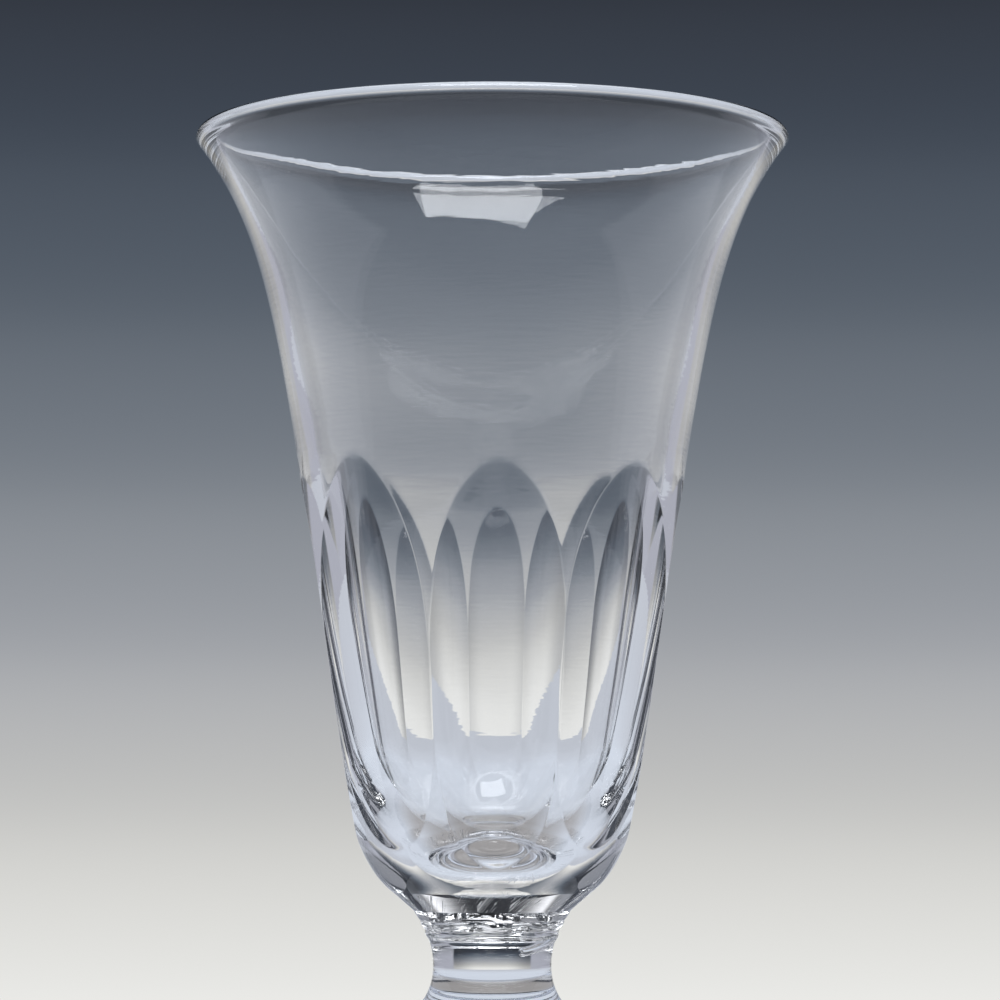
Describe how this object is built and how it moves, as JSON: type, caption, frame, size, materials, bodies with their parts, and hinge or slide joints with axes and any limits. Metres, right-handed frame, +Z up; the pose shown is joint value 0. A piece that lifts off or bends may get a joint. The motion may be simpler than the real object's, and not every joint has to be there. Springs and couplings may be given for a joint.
{
  "type": "jelly glass",
  "caption": "Clear stemmed jelly glass with a flared bell bowl, flat petal-cut sides, a tooled collar, a short waisted stem and a spreading foot.",
  "frame": {"origin": "centre of the flat ring under the foot", "axes": "+Z up the axis of the glass to its mouth, -Y towards the viewer of the picture"},
  "size_m": [0.065, 0.0648, 0.1046],
  "materials": {
    "bowl_glass": "clear lead glass, fire polished at the lip, flat petals cut and polished",
    "collar_glass": "clear lead glass, tooled hot, with soft rings and a snipped tail",
    "stem_glass": "clear lead glass, drawn and fire polished",
    "foot_glass": "clear lead glass, polished pontil dish underneath"
  },
  "bodies": {
    "root": {"bowl": "bowl_glass", "collar": "collar_glass", "stem": "stem_glass", "foot": "foot_glass"}
  },
  "joints": []
}
